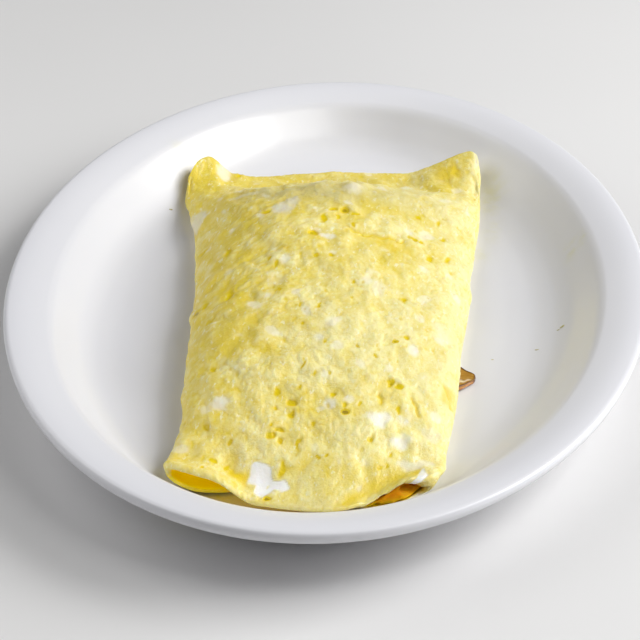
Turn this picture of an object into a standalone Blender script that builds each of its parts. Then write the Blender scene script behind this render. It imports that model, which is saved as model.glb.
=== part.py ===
"""Folded omelette on its oval platter.

Frame: origin on the table under the platter's centre, +Y along the platter's
long axis, +X to the right, +Z up.  Units are metres; the named sizes below
are in millimetres and are scaled by MM.

Pieces (one closed solid each):
  plate        oval narrow-rim platter, lofted from elliptic rings
  omelette     one egg sheet folded into a packet: open at the near end,
               pressed flat at the far end between two raised corner ears
  filling      amber filling that runs through the packet
  onion_piece  curved sliver of browned onion caught under the right fold
"""
import bpy
import bmesh
from math import pi, sin, cos, radians

MM = 0.001

# ----------------------------------------------------------------- platter
PLATE_A = 146.0          # half length, along Y
PLATE_B = 102.7          # half width, along X
PLATE_SEGS = 60
# (distance in from the rim's edge, height) along the upper surface
PLATE_TOP = ((0.0, 22.3), (0.6, 23.3), (1.8, 23.6), (13.0, 21.2), (14.8, 20.2),
             (19.0, 15.7), (24.3, 10.4), (29.5, 7.5), (36.5, 5.9), (44.0, 5.5))
# the same along the underside, down to the foot ring and the recessed base
PLATE_UNDER = ((0.3, 20.6), (1.8, 19.4), (11.5, 17.0), (14.8, 14.9),
               (19.0, 10.7), (24.3, 5.9), (29.5, 2.7), (33.4, 0.7),
               (34.6, 0.0), (38.8, 0.0), (39.9, 1.4), (46.0, 1.7))
TOP_STATIONS = (0.0, 0.6, 1.8, 6.5, 12.4, 14.0, 16.4, 20.0, 24.0, 28.0,
                33.0, 39.0, 46.0)

# ---------------------------------------------------------------- omelette
SHEET = 1.8              # thickness of the egg sheet
REST_GAP = 0.32          # clearance between touching pieces
AROUND = 40              # points round a section of the packet
ALONG = 34               # sections along the packet
CAVITY_END = 0.865       # where top and bottom sheets meet, along the packet

# outline of the packet: fold lines left and right, (station, x)
LEFT_FOLD = ((0.0, -33.8), (0.05, -33.6), (0.11, -33.2), (0.25, -36.8),
             (0.38, -39.4), (0.45, -41.3), (0.52, -42.6), (0.66, -46.8),
             (0.79, -51.6), (0.88, -56.4), (0.94, -60.0), (1.0, -61.0))
RIGHT_FOLD = ((0.0, 44.4), (0.08, 45.4), (0.23, 46.2), (0.36, 45.2),
              (0.52, 45.6), (0.66, 44.2), (0.80, 44.6), (0.95, 43.0),
              (1.0, 42.0))
# near edge of the top sheet and of the bottom sheet, (across, y)
NEAR_TOP = ((-1.0, -109.5), (-0.9, -110.6), (-0.6, -112.5), (-0.2, -115.6),
            (0.2, -116.4), (0.38, -115.0), (0.5, -110.6), (0.62, -106.6),
            (0.8, -104.2), (1.0, -100.5))
NEAR_BOTTOM = ((-1.0, -109.5), (-0.92, -112.2), (-0.8, -111.0), (-0.6, -107.0),
               (-0.4, -104.0), (0.0, -103.6), (0.5, -107.4), (0.8, -107.0),
               (1.0, -100.5))
# far edge, slanting away to the right, with rounded ears, (across, y)
FAR_EDGE = ((-1.0, 71.0), (-0.96, 79.0), (-0.88, 83.0), (-0.76, 82.8),
            (-0.62, 84.0), (-0.3, 90.0), (0.0, 95.5), (0.4, 99.0),
            (0.7, 101.6), (0.9, 104.4), (0.96, 102.8), (1.0, 95.0))
# height of the packet above the plate along its middle, (station, height)
CROWN = ((0.0, 4.4), (0.03, 6.6), (0.08, 10.8), (0.16, 15.4), (0.30, 19.6),
         (0.50, 22.8), (0.66, 24.2), (0.75, 24.5), (0.81, 20.8), (0.855, 14.3),
         (0.90, 8.8), (0.94, 5.2), (1.0, 3.8))
# how square the section's shoulders are, (station, exponent)
SHOULDER = ((0.0, 4.0), (0.12, 2.8), (0.4, 2.2), (0.75, 1.62), (0.88, 2.3),
            (1.0, 3.6))
UNDER_FOLD = 3.0         # the same exponent for the underside
CROWN_LEAN = 0.15        # how much lower the crown lies to the right, far end
LOOP_H = 9.6             # height of the open loop at the near left corner
ARCH_H = 9.0             # height of the arch at the near right corner
ARCH_ROLL = 5.2          # extra thickness of the roll beside the arch
EAR_L_H = 8.8            # height of the left ear above the plate
EAR_R_H = 11.0           # height of the right ear

# ----------------------------------------------------------------- filling
FILL_RECESS_L = 46.0     # how far the filling stays back behind the loop
FILL_RECESS_R = 3.0      # and behind the arch, where it shows
FILL_GAP = 0.7           # clearance to the sheet all round
FILL_GAP_NEAR = 0.65     # and this much more at the open near end
FILL_NARROW = 0.97       # and a little narrower than the cavity
FILL_ALONG = 18
FILL_AROUND = 32

# ------------------------------------------------------------- onion piece
ONION_Y = -33.0          # middle of the piece along the packet
ONION_HALF = 6.2         # half its length where it leaves the fold
ONION_FROM = 39.5        # hidden end, under the right fold
ONION_EDGE = 45.4        # where it leaves the fold
ONION_TIP = 50.6         # free tip
ONION_T = 2.3            # thickness where it shows
ONION_T_HIDDEN = 1.0     # thickness under the fold


def clamp(v, lo, hi):
    return max(lo, min(hi, v))


def smoothstep(a, b, v):
    t = clamp((v - a) / (b - a), 0.0, 1.0)
    return t * t * (3.0 - 2.0 * t)


def station(t):
    """Spread of the sections along the packet, closer together at its ends."""
    return t - 0.085 * sin(2.0 * pi * t)


def through(table, v):
    """Monotone cubic through (position, value) pairs."""
    n = len(table)
    if v <= table[0][0]:
        return table[0][1]
    if v >= table[-1][0]:
        return table[-1][1]
    h = [table[i + 1][0] - table[i][0] for i in range(n - 1)]
    d = [(table[i + 1][1] - table[i][1]) / h[i] for i in range(n - 1)]
    m = [d[0]] + [0.0] * (n - 2) + [d[-1]]
    for i in range(1, n - 1):
        if d[i - 1] * d[i] > 0.0:
            w1, w2 = 2 * h[i] + h[i - 1], h[i] + 2 * h[i - 1]
            m[i] = (w1 + w2) / (w1 / d[i - 1] + w2 / d[i])
    i = 0
    while v > table[i + 1][0]:
        i += 1
    t = (v - table[i][0]) / h[i]
    y0, y1 = table[i][1], table[i + 1][1]
    return ((2 * t ** 3 - 3 * t ** 2 + 1) * y0 + (t ** 3 - 2 * t ** 2 + t) * h[i] * m[i]
            + (-2 * t ** 3 + 3 * t ** 2) * y1 + (t ** 3 - t ** 2) * h[i] * m[i + 1])


# ----------------------------------------------------------------- shapes
def plate_offset(x, y):
    """Distance in from the rim's edge of the ring that passes through x, y."""
    lo, hi = 0.0, PLATE_B - 0.5
    for _ in range(40):
        o = 0.5 * (lo + hi)
        if (x / (PLATE_B - o)) ** 2 + (y / (PLATE_A - o)) ** 2 > 1.0:
            hi = o
        else:
            lo = o
    return 0.5 * (lo + hi)


def plate_z(x, y):
    return through(PLATE_TOP, plate_offset(x, y))


def packet_height(s, v):
    """Height of the packet's upper surface above the plate."""
    crown = through(CROWN, v) * (1.0 - CROWN_LEAN * s * smoothstep(0.3, 0.7, v))
    near = 1.0 - smoothstep(0.0, 0.13, v)
    loop = LOOP_H * (1.0 - smoothstep(-0.70, -0.10, s))
    arch = ARCH_H * smoothstep(0.28, 0.66, s)
    rim = max(through(CROWN, 0.0), loop, arch)
    h = crown * (1.0 - near) + max(crown, rim) * near if near > 0.0 else crown
    far = smoothstep(0.80, 0.97, v)
    ear = max(EAR_L_H * (1.0 - smoothstep(-0.88, -0.58, s)),
              EAR_R_H * smoothstep(0.22, 0.92, s))
    return h * (1.0 - far) + max(h, ear) * far


def packet_point(s, upper, v, inset):
    """A point of the packet's section at station v, moved in by inset.

    s runs from the left fold (-1) to the right fold (+1); upper says which
    of the two sheets the point is on.
    """
    near = through(NEAR_TOP if upper else NEAR_BOTTOM, s)
    y = near + (through(FAR_EDGE, s) - near) * v
    roll = ARCH_ROLL * (1.0 - smoothstep(0.0, 0.16, v)) * min(1.0, inset / SHEET)
    xl = through(LEFT_FOLD, v) + inset
    xr = through(RIGHT_FOLD, v) - inset - roll
    x = 0.5 * (xl + xr) + 0.5 * (xr - xl) * s
    base = plate_z(x, y) + REST_GAP + inset
    height = packet_height(s, v) - 2.0 * inset
    n = through(SHOULDER, v)
    side = 0.46 * min(height, 12.0)
    if upper:
        round_off = (max(0.0, 1.0 - abs(s) ** n)) ** (1.0 / n)
        z = base + side + (height - side) * round_off
    else:
        round_off = (max(0.0, 1.0 - abs(s) ** UNDER_FOLD)) ** (1.0 / UNDER_FOLD)
        z = base + side * (1.0 - round_off)
    return x, y, z


def section_spacing(count):
    """(s, upper) pairs round a section, closer together at the folds."""
    half = count // 2
    ring = []
    for i in range(half):
        a = pi * i / half
        ring.append((-cos(a) * (1.0 + 0.10 * sin(a) ** 2), True))
    for i in range(half):
        a = pi * i / half
        ring.append((cos(a) * (1.0 + 0.10 * sin(a) ** 2), False))
    return [(clamp(s, -1.0, 1.0), u) for s, u in ring]


# --------------------------------------------------------------- mesh help
def add_ring(bm, points):
    return [bm.verts.new((x * MM, y * MM, z * MM)) for x, y, z in points]


def bridge(bm, lower, upper):
    n = len(lower)
    for i in range(n):
        j = (i + 1) % n
        bm.faces.new((lower[i], lower[j], upper[j], upper[i]))


def finish_mesh(bm, name, collection, material, angle=40.0):
    bmesh.ops.triangulate(bm, faces=[f for f in bm.faces if len(f.verts) > 4])
    bmesh.ops.recalc_face_normals(bm, faces=bm.faces)
    mesh = bpy.data.meshes.new(name)
    bm.to_mesh(mesh)
    bm.free()
    mesh.materials.append(material)
    mesh.shade_smooth()
    mesh.set_sharp_from_angle(angle=radians(angle))
    obj = bpy.data.objects.new(name, mesh)
    collection.objects.link(obj)
    return obj


def principled(name, colour, roughness, metallic=0.0):
    mat = bpy.data.materials.new(name)
    mat.use_nodes = True
    bsdf = mat.node_tree.nodes["Principled BSDF"]
    bsdf.inputs["Base Color"].default_value = (*colour, 1.0)
    bsdf.inputs["Roughness"].default_value = roughness
    bsdf.inputs["Metallic"].default_value = metallic
    return mat


# ------------------------------------------------------------------ pieces
def make_plate(collection):
    """Rings of elliptic section, lofted over the top, the lip and the base."""
    bm = bmesh.new()

    def ring(offset, z):
        return add_ring(bm, [((PLATE_B - offset) * cos(2 * pi * k / PLATE_SEGS),
                              (PLATE_A - offset) * sin(2 * pi * k / PLATE_SEGS), z)
                             for k in range(PLATE_SEGS)])

    rings = [ring(o, through(PLATE_TOP, o)) for o in reversed(TOP_STATIONS)]
    rings += [ring(o, z) for o, z in PLATE_UNDER]
    for a, b in zip(rings, rings[1:]):
        bridge(bm, a, b)
    bm.faces.new(list(reversed(rings[0])))
    bm.faces.new(rings[-1])
    return finish_mesh(bm, "plate", collection,
                       principled("glazed_white", (0.76, 0.76, 0.77), 0.16), 50.0)


def make_omelette(collection):
    """The egg sheet: outer skin, inner skin, joined at the open near end."""
    bm = bmesh.new()
    ring = section_spacing(AROUND)
    outer = [add_ring(bm, [packet_point(s, u, station(k / ALONG), 0.0) for s, u in ring])
             for k in range(ALONG + 1)]
    steps = int(ALONG * CAVITY_END)
    inner = [add_ring(bm, [packet_point(s, u, CAVITY_END * station(k / steps), SHEET)
                           for s, u in ring]) for k in range(steps + 1)]
    for a, b in zip(outer, outer[1:]):
        bridge(bm, a, b)
    for a, b in zip(inner, inner[1:]):
        bridge(bm, b, a)
    bridge(bm, inner[0], outer[0])
    for last, flip in ((outer[-1], False), (inner[-1], True)):
        half = AROUND // 2
        for i in range(half):
            j, top_i, top_j = i + 1, last[i], last[i + 1]
            low_i, low_j = last[(AROUND - i) % AROUND], last[AROUND - j]
            quad = [top_i, top_j, low_j, low_i]
            face = []
            for vert in quad:
                if vert not in face:
                    face.append(vert)
            if len(face) > 2:
                bm.faces.new(face if not flip else list(reversed(face)))
    return finish_mesh(bm, "omelette", collection,
                       principled("egg", (0.86, 0.70, 0.24), 0.55), 60.0)


def make_filling(collection):
    """Solid filling inside the packet, its near face slanting back leftward."""
    bm = bmesh.new()
    ring = section_spacing(FILL_AROUND)
    end = CAVITY_END - 0.05
    length = 205.0
    rings = []
    for k in range(FILL_ALONG + 1):
        points = []
        for s, u in ring:
            recess = FILL_RECESS_R + (FILL_RECESS_L - FILL_RECESS_R) * (1.0 - smoothstep(-0.5, 0.55, s))
            start = recess / length
            t = station(k / FILL_ALONG)
            v = start + (end - start) * t
            inset = SHEET + FILL_GAP + FILL_GAP_NEAR * (1.0 - smoothstep(0.02, 0.14, v))
            x, y, z = packet_point(s, u, v, inset)
            middle = 0.5 * (through(LEFT_FOLD, v) + through(RIGHT_FOLD, v))
            points.append((middle + (x - middle) * FILL_NARROW, y, z))
        rings.append(add_ring(bm, points))
    for a, b in zip(rings, rings[1:]):
        bridge(bm, a, b)
    half = FILL_AROUND // 2
    for last, flip in ((rings[-1], False), (rings[0], True)):
        for i in range(half):
            j = i + 1
            face = []
            for vert in (last[i], last[j], last[FILL_AROUND - j],
                         last[(FILL_AROUND - i) % FILL_AROUND]):
                if vert not in face:
                    face.append(vert)
            bm.faces.new(face if not flip else list(reversed(face)))
    return finish_mesh(bm, "filling", collection,
                       principled("amber_filling", (0.50, 0.20, 0.01), 0.42), 60.0)


def make_onion(collection):
    """Three-cornered sliver lying on the plate, its blunt end under the fold."""
    bm = bmesh.new()
    rings = []
    stations = 9
    count = 12
    for k in range(stations):
        t = k / (stations - 1)
        x = ONION_FROM + (ONION_TIP - ONION_FROM) * t
        free = clamp((x - ONION_EDGE) / (ONION_TIP - ONION_EDGE), 0.0, 1.0)
        half = ONION_HALF * (1.0 - 0.78 * free)
        thick = ONION_T_HIDDEN + (ONION_T - ONION_T_HIDDEN) * smoothstep(ONION_FROM, ONION_EDGE, x)
        thick *= 1.0 - 0.25 * free
        points = []
        for i in range(count):
            a = 2 * pi * (i + 0.5) / count
            c, s = cos(a), sin(a)
            across = half * (abs(c) ** 0.6) * (1 if c > 0 else -1)
            up = 0.5 * thick * (1.0 + (abs(s) ** 0.6) * (1 if s > 0 else -1))
            y = ONION_Y + 1.2 * free + across
            points.append((x, y, plate_z(x, y) + REST_GAP + up))
        rings.append(add_ring(bm, points))
    for a, b in zip(rings, rings[1:]):
        bridge(bm, a, b)
    bm.faces.new(list(reversed(rings[0])))
    bm.faces.new(rings[-1])
    return finish_mesh(bm, "onion_piece", collection,
                       principled("browned_onion", (0.45, 0.22, 0.04), 0.3), 40.0)


def main():
    for obj in list(bpy.data.objects):
        bpy.data.objects.remove(obj, do_unlink=True)
    collection = bpy.data.collections.new("folded_omelette")
    bpy.context.scene.collection.children.link(collection)
    make_plate(collection)
    make_omelette(collection)
    make_filling(collection)
    make_onion(collection)


main()
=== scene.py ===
"""Looks of the folded omelette on its oval platter.

Lengths in this file are in millimetres until a mesh is made, and are then
scaled by MM.  The packet's shape is worked out from the same named sizes as
the CAD solids, on a much finer grid, and then gets its lumps, pits, bubbles
and creases.
"""
import math

import bpy
import numpy as np
from mathutils import Matrix, Vector


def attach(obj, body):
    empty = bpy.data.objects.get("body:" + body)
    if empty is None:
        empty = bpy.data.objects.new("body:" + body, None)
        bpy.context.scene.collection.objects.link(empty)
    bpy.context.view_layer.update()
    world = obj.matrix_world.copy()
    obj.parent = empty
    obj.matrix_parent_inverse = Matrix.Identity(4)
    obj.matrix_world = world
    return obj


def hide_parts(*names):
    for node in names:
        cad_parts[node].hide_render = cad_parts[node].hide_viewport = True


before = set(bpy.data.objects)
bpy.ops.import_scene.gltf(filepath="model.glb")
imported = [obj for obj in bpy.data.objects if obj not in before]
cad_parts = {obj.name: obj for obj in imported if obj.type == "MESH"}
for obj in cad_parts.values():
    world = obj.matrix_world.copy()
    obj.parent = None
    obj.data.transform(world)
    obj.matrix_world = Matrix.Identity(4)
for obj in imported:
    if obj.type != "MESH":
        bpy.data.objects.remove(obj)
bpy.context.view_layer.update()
MM = 0.001
scene = bpy.context.scene

# ----------------------------------------------------------------- sizes
PLATE_A, PLATE_B = 146.0, 102.7
PLATE_TOP = ((0.0, 22.3), (0.6, 23.3), (1.8, 23.6), (13.0, 21.2), (14.8, 20.2),
             (19.0, 15.7), (24.3, 10.4), (29.5, 7.5), (36.5, 5.9), (44.0, 5.5))
PLATE_UNDER = ((0.0, 22.3), (0.3, 20.6), (1.8, 19.4), (11.5, 17.0), (14.8, 14.9),
               (19.0, 10.7), (24.3, 5.9), (29.5, 2.7), (33.4, 0.7),
               (34.6, 0.0), (38.8, 0.0), (39.9, 1.4), (46.0, 1.7))

SHEET = 1.8
REST_GAP = 0.32
CAVITY_END = 0.865
LEFT_FOLD = ((0.0, -33.8), (0.05, -33.6), (0.11, -33.2), (0.25, -36.8),
             (0.38, -39.4), (0.45, -41.3), (0.52, -42.6), (0.66, -46.8),
             (0.79, -51.6), (0.88, -56.4), (0.94, -60.0), (1.0, -61.0))
RIGHT_FOLD = ((0.0, 44.4), (0.08, 45.4), (0.23, 46.2), (0.36, 45.2),
              (0.52, 45.6), (0.66, 44.2), (0.80, 44.6), (0.95, 43.0),
              (1.0, 42.0))
NEAR_TOP = ((-1.0, -109.5), (-0.9, -110.6), (-0.6, -112.5), (-0.2, -115.6),
            (0.2, -116.4), (0.38, -115.0), (0.5, -111.8), (0.62, -108.4),
            (0.8, -105.0), (1.0, -100.5))
NEAR_BOTTOM = ((-1.0, -109.5), (-0.92, -112.2), (-0.8, -111.0), (-0.6, -107.0),
               (-0.4, -104.0), (0.0, -103.6), (0.5, -107.4), (0.8, -107.0),
               (1.0, -100.5))
FAR_EDGE = ((-1.0, 71.0), (-0.96, 79.0), (-0.88, 83.0), (-0.76, 82.8),
            (-0.62, 84.0), (-0.3, 90.0), (0.0, 95.5), (0.4, 99.0),
            (0.7, 101.6), (0.9, 104.4), (0.96, 102.8), (1.0, 95.0))
CROWN = ((0.0, 3.3), (0.03, 6.2), (0.08, 10.8), (0.16, 15.4), (0.30, 19.6),
         (0.50, 22.8), (0.66, 24.2), (0.75, 24.5), (0.81, 20.8), (0.855, 14.3),
         (0.90, 8.8), (0.94, 5.2), (1.0, 3.8))
SHOULDER = ((0.0, 4.0), (0.12, 2.8), (0.4, 2.2), (0.75, 1.62), (0.88, 2.3),
            (1.0, 3.6))
UNDER_FOLD = 3.0
CROWN_LEAN = 0.15
LOOP_H = 9.6
ARCH_H = 8.7
ARCH_ROLL = 6.6
EAR_L_H = 8.8
EAR_R_H = 11.0


# ------------------------------------------------------------- small maths
def smoothstep(a, b, v):
    t = np.clip((np.asarray(v, float) - a) / (b - a), 0.0, 1.0)
    return t * t * (3.0 - 2.0 * t)


def through(table, v):
    """Monotone cubic through (position, value) pairs, for arrays."""
    x = np.array([t[0] for t in table], float)
    y = np.array([t[1] for t in table], float)
    h = np.diff(x)
    d = np.diff(y) / h
    m = np.zeros(len(x))
    m[0], m[-1] = d[0], d[-1]
    for i in range(1, len(x) - 1):
        if d[i - 1] * d[i] > 0.0:
            w1, w2 = 2 * h[i] + h[i - 1], h[i] + 2 * h[i - 1]
            m[i] = (w1 + w2) / (w1 / d[i - 1] + w2 / d[i])
    v = np.clip(np.asarray(v, float), x[0], x[-1])
    i = np.clip(np.searchsorted(x, v, side="right") - 1, 0, len(x) - 2)
    t = (v - x[i]) / h[i]
    return ((2 * t ** 3 - 3 * t ** 2 + 1) * y[i] + (t ** 3 - 2 * t ** 2 + t) * h[i] * m[i]
            + (-2 * t ** 3 + 3 * t ** 2) * y[i + 1] + (t ** 3 - t ** 2) * h[i] * m[i + 1])


def smooth_noise(shape, step, wave, seed, stretch=1.0):
    """Seeded band-limited noise on a periodic grid, unit deviation.

    wave is the length of the lumps across, in mm; stretch makes them that
    many times longer along the second axis.
    """
    rng = np.random.default_rng(seed)
    field = np.fft.rfft2(rng.standard_normal(shape))
    fy = np.fft.fftfreq(shape[0], step)[:, None]
    fx = np.fft.rfftfreq(shape[1], step)[None, :]
    r2 = (fy * wave) ** 2 + (fx * wave * stretch) ** 2
    band = np.exp(-r2 * 1.1) * (1.0 - np.exp(-r2 * 2.5))
    out = np.fft.irfft2(field * band, shape)
    return (out - out.mean()) / out.std()


class NoiseMap:
    """A noise image looked up with bilinear interpolation, in mm."""

    def __init__(self, wave, seed, stretch=1.0, size=(1024, 1024), step=0.25):
        self.data = smooth_noise(size, step, wave, seed, stretch)
        self.step = step

    def __call__(self, a, b):
        h, w = self.data.shape
        u = (np.asarray(a, float) / self.step) % h
        v = (np.asarray(b, float) / self.step) % w
        i, j = np.floor(u).astype(int) % h, np.floor(v).astype(int) % w
        fu, fv = u - np.floor(u), v - np.floor(v)
        i1, j1 = (i + 1) % h, (j + 1) % w
        d = self.data
        return (d[i, j] * (1 - fu) * (1 - fv) + d[i1, j] * fu * (1 - fv)
                + d[i, j1] * (1 - fu) * fv + d[i1, j1] * fu * fv)


# ------------------------------------------------------------- base shapes
def plate_offset(x, y):
    x, y = np.broadcast_arrays(np.asarray(x, float), np.asarray(y, float))
    lo = np.zeros(x.shape)
    hi = np.full(x.shape, PLATE_B - 0.5)
    for _ in range(26):
        o = 0.5 * (lo + hi)
        out = (x / (PLATE_B - o)) ** 2 + (y / (PLATE_A - o)) ** 2 > 1.0
        hi = np.where(out, o, hi)
        lo = np.where(out, lo, o)
    return 0.5 * (lo + hi)


OFFSETS = np.linspace(0.0, 60.0, 1200)
TOP_Z = through(PLATE_TOP, OFFSETS)


def plate_z(x, y):
    return np.interp(plate_offset(x, y), OFFSETS, TOP_Z)


def blend_up(a, b, k):
    """The larger of two heights, with the kink between them rounded off."""
    return 0.5 * (a + b + np.sqrt((a - b) ** 2 + k * k))


def packet_height(s, v):
    crown = through(CROWN, v) * (1.0 - CROWN_LEAN * s * smoothstep(0.3, 0.7, v))
    near = 1.0 - smoothstep(0.0, 0.13, v)
    loop = LOOP_H * (1.0 - smoothstep(-0.70, -0.10, s))
    arch = ARCH_H * smoothstep(0.32, 0.84, s)
    rim = blend_up(CROWN[0][1], np.maximum(loop, arch), 1.2)
    h = crown * (1.0 - near) + blend_up(crown, rim, 0.8) * near
    far = smoothstep(0.80, 0.97, v)
    ear = np.maximum(EAR_L_H * (1.0 - smoothstep(-0.88, -0.58, s)),
                     EAR_R_H * smoothstep(0.22, 0.92, s))
    return h * (1.0 - far) + blend_up(h, ear, 1.0) * far


def packet_point(s, upper, v, inset):
    """Arrays of s, of which sheet (True: upper), of station and of inset."""
    s, upper, v = np.broadcast_arrays(s, upper, v)
    near = np.where(upper, through(NEAR_TOP, s), through(NEAR_BOTTOM, s))
    y = near + (through(FAR_EDGE, s) - near) * v
    roll = ARCH_ROLL * (1.0 - smoothstep(0.0, 0.16, v)) * np.minimum(1.0, inset / SHEET)
    xl = through(LEFT_FOLD, v) + inset
    xr = through(RIGHT_FOLD, v) - inset
    x = 0.5 * (xl + xr) + 0.5 * (xr - xl) * s - roll * smoothstep(0.70, 1.0, s)
    base = plate_z(x, y) + REST_GAP + inset
    height = packet_height(s, v) - 2.0 * inset
    n = through(SHOULDER, v)
    side = 0.46 * np.minimum(height, 12.0)
    up = np.maximum(0.0, 1.0 - np.abs(s) ** n) ** (1.0 / n)
    low = np.maximum(0.0, 1.0 - np.abs(s) ** UNDER_FOLD) ** (1.0 / UNDER_FOLD)
    z = np.where(upper, base + side + (height - side) * up, base + side * (1.0 - low))
    return np.stack([x, y, z], -1)


def even_spread(count, exponent, width, height):
    """count values of s in [-1, 1), evenly spaced along a section's curve."""
    a = np.linspace(0.0, math.pi, 4001)
    s = -np.cos(a)
    z = np.maximum(0.0, 1.0 - np.abs(s) ** exponent) ** (1.0 / exponent) * height
    length = np.concatenate([[0.0], np.cumsum(np.hypot(np.diff(s * width), np.diff(z)))])
    return np.interp(np.linspace(0.0, length[-1], count, endpoint=False), length, s)


# ------------------------------------------------------------ mesh building
def new_object(name, verts, faces, smooth=True):
    mesh = bpy.data.meshes.new(name)
    mesh.from_pydata((np.asarray(verts) * MM).tolist(), [], faces)
    mesh.validate()
    mesh.update()
    if smooth:
        mesh.shade_smooth()
    obj = bpy.data.objects.new(name, mesh)
    scene.collection.objects.link(obj)
    return obj


def quads(rows, cols, start=0, flip=False, wrap=True):
    """Faces of a grid whose columns close into a ring."""
    i = np.arange(rows - 1)[:, None]
    j = np.arange(cols if wrap else cols - 1)[None, :]
    a = start + i * cols + j
    b = start + i * cols + (j + 1) % cols
    c, d = b + cols, a + cols
    order = (a, d, c, b) if flip else (a, b, c, d)
    return np.stack(order, -1).reshape(-1, 4).tolist()


def close_ring(s_top, s_low, start, flip):
    """Faces that close a section: its upper points sewn to its lower ones."""
    count_t, around = len(s_top), len(s_top) + len(s_low)
    tops = list(range(start, start + count_t + 1))
    lows = [start] + list(range(start + around - 1, start + count_t - 1, -1))
    st = np.concatenate([s_top, [1.0]])
    sl = np.concatenate([[-1.0], s_low[::-1]])
    faces, i, j = [], 0, 0
    while i < len(tops) - 1 or j < len(lows) - 1:
        if j >= len(lows) - 1 or (i < len(tops) - 1 and st[i + 1] <= sl[j + 1]):
            tri = (tops[i], tops[i + 1], lows[j])
            i += 1
        else:
            tri = (tops[i], lows[j + 1], lows[j])
            j += 1
        if len(set(tri)) == 3:
            faces.append(tri[::-1] if flip else tri)
    return faces


def set_attribute(obj, name, values):
    att = obj.data.attributes.new(name, "FLOAT", "POINT")
    att.data.foreach_set("value", np.asarray(values, np.float32))


# ------------------------------------------------------------ node helpers
class Nodes:
    def __init__(self, name):
        self.mat = bpy.data.materials.new(name)
        self.mat.use_nodes = True
        self.tree = self.mat.node_tree
        self.bsdf = self.tree.nodes["Principled BSDF"]
        self.out = self.tree.nodes["Material Output"]
        self.coord = self.tree.nodes.new("ShaderNodeTexCoord")

    def link(self, a, b):
        self.tree.links.new(a, b)

    def put(self, socket, value):
        if isinstance(value, bpy.types.NodeSocket):
            self.link(value, socket)
        elif value is not None:
            socket.default_value = value

    def attribute(self, name):
        n = self.tree.nodes.new("ShaderNodeAttribute")
        n.attribute_name = name
        return n.outputs["Fac"]

    def mapping(self, scale=(1, 1, 1), rotation=(0, 0, 0), location=(0, 0, 0)):
        n = self.tree.nodes.new("ShaderNodeMapping")
        self.link(self.coord.outputs["Object"], n.inputs["Vector"])
        n.inputs["Scale"].default_value = scale
        n.inputs["Rotation"].default_value = rotation
        n.inputs["Location"].default_value = location
        return n.outputs["Vector"]

    def noise(self, scale, detail=4.0, rough=0.55, vector=None, distortion=0.0):
        n = self.tree.nodes.new("ShaderNodeTexNoise")
        self.link(vector or self.coord.outputs["Object"], n.inputs["Vector"])
        n.inputs["Scale"].default_value = scale
        n.inputs["Detail"].default_value = detail
        n.inputs["Roughness"].default_value = rough
        n.inputs["Distortion"].default_value = distortion
        return n.outputs["Fac"]

    def voronoi(self, scale, feature="F1", vector=None, randomness=1.0, smooth=None):
        n = self.tree.nodes.new("ShaderNodeTexVoronoi")
        n.feature = feature
        self.link(vector or self.coord.outputs["Object"], n.inputs["Vector"])
        n.inputs["Scale"].default_value = scale
        n.inputs["Randomness"].default_value = randomness
        if smooth is not None:
            n.inputs["Smoothness"].default_value = smooth
        return n.outputs["Distance"]

    def remap(self, value, a, b, lo=0.0, hi=1.0, smooth=True):
        n = self.tree.nodes.new("ShaderNodeMapRange")
        n.interpolation_type = "SMOOTHSTEP" if smooth else "LINEAR"
        self.link(value, n.inputs["Value"])
        n.inputs["From Min"].default_value = a
        n.inputs["From Max"].default_value = b
        n.inputs["To Min"].default_value = lo
        n.inputs["To Max"].default_value = hi
        return n.outputs["Result"]

    def math(self, op, a, b=None, clamp=False):
        n = self.tree.nodes.new("ShaderNodeMath")
        n.operation = op
        n.use_clamp = clamp
        self.put(n.inputs[0], a)
        if b is not None:
            self.put(n.inputs[1], b)
        return n.outputs[0]

    def mix(self, fac, a, b, blend="MIX"):
        n = self.tree.nodes.new("ShaderNodeMix")
        n.data_type = "RGBA"
        n.blend_type = blend
        n.clamp_factor = True
        self.put(n.inputs["Factor"], fac)
        for socket, value in ((n.inputs[6], a), (n.inputs[7], b)):
            if isinstance(value, bpy.types.NodeSocket):
                self.link(value, socket)
            else:
                socket.default_value = (*value, 1.0)
        return n.outputs[2]

    def bump(self, height, distance, strength=1.0, normal=None):
        n = self.tree.nodes.new("ShaderNodeBump")
        n.inputs["Strength"].default_value = strength
        n.inputs["Distance"].default_value = distance
        self.link(height, n.inputs["Height"])
        if normal is not None:
            self.link(normal, n.inputs["Normal"])
        return n.outputs["Normal"]


def srgb(r, g, b):
    """Linear colour from display values 0 to 255."""
    def lin(c):
        c = c / 255.0
        return c / 12.92 if c <= 0.04045 else ((c + 0.055) / 1.055) ** 2.4
    return (lin(r), lin(g), lin(b))


# ------------------------------------------------------------------- camera
CAM_AZ, CAM_EL, CAM_ROLL = (math.radians(v) for v in (6.526, 30.994, 2.508))
CAM_TARGET = Vector((-0.0038, 0.00574, 0.0))
CAM_DIST = 0.72827


def make_camera():
    back = Vector((math.sin(CAM_AZ) * math.cos(CAM_EL),
                   -math.cos(CAM_AZ) * math.cos(CAM_EL), math.sin(CAM_EL)))
    right = (-back).cross(Vector((0, 0, 1))).normalized()
    up = right.cross(-back)
    r2 = right * math.cos(CAM_ROLL) + up * math.sin(CAM_ROLL)
    u2 = up * math.cos(CAM_ROLL) - right * math.sin(CAM_ROLL)
    cam = bpy.data.cameras.new("camera")
    cam.sensor_width = 36.0
    cam.lens = 122.76
    cam.clip_start, cam.clip_end = 0.01, 20.0
    obj = bpy.data.objects.new("camera", cam)
    m = Matrix((r2, u2, back)).transposed().to_4x4()
    m.translation = CAM_TARGET + back * CAM_DIST
    obj.matrix_world = m
    scene.collection.objects.link(obj)
    scene.camera = obj


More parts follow.
